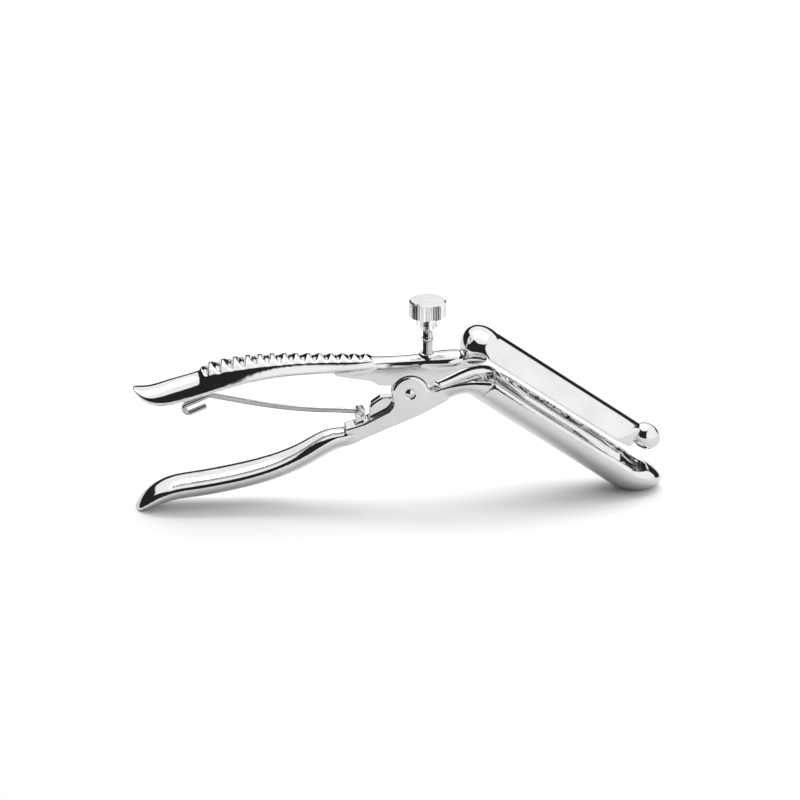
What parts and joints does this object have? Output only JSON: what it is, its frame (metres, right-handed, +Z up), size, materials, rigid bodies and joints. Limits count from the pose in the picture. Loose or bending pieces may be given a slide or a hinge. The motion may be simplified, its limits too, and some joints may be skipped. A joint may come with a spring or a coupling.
{
  "type": "anal speculum",
  "caption": "Two-bladed spring speculum of plier form with ridged handles, a wire return spring and a knurled feed screw.",
  "frame": {"origin": "middle of the box in X and Y, on the surface that the lower handle's tip and the lower blade stand on", "axes": "+X along the instrument towards the blades, +Y across it along the pivot, +Z up"},
  "size_m": [0.2134, 0.024, 0.0841],
  "materials": {
    "lower_lever": "mirror polished plate",
    "lower_blade": "mirror polished plate",
    "upper_lever": "mirror polished plate",
    "upper_blade": "mirror polished plate",
    "blade_tip": "mirror polished plate",
    "pivot_pin": "polished plate",
    "feed_screw": "threaded, bright",
    "knob": "straight knurl, bright",
    "spring_wire": "drawn spring wire, bright",
    "spring_pin": "turned, bright"
  },
  "bodies": {
    "lower": {"lower_lever": "lower_lever", "lower_blade": "lower_blade", "pivot_pin": "pivot_pin", "spring_pin": "spring_pin"},
    "upper": {"upper_lever": "upper_lever", "upper_blade": "upper_blade", "blade_tip": "blade_tip"},
    "screw": {"feed_screw": "feed_screw"},
    "knob": {"knob": "knob"},
    "spring": {"spring_wire": "spring_wire"}
  },
  "joints": [
    {"name": "blade_opening", "type": "hinge", "parent": "lower", "child": "upper", "pos_m": [0.00379, 0, 0.0458], "axis": [0, -1, 0], "range_deg": [0, 13.5], "stiffness_Nm_per_rad": 0.4, "springref_deg": -28.65},
    {"name": "spring_bend", "type": "hinge", "parent": "lower", "child": "spring", "pos_m": [-0.01601, 0, 0.0377], "axis": [0, -1, 0], "range_deg": [0, 18.3]},
    {"name": "screw_feed", "type": "slide", "parent": "upper", "child": "screw", "axis": [0, 0, 1], "range_m": [0, 0.004]},
    {"name": "knob_turn", "type": "hinge", "parent": "screw", "child": "knob", "pos_m": [0.01109, 0, 0.0447], "axis": [0, 0, 1], "range_deg": [0, 2057.2]}
  ],
  "couplings": [
    {"joint": "spring_bend", "follows": "blade_opening", "ratio": 1.355},
    {"joint": "knob_turn", "follows": "screw_feed", "rad_per_m": 8976}
  ]
}
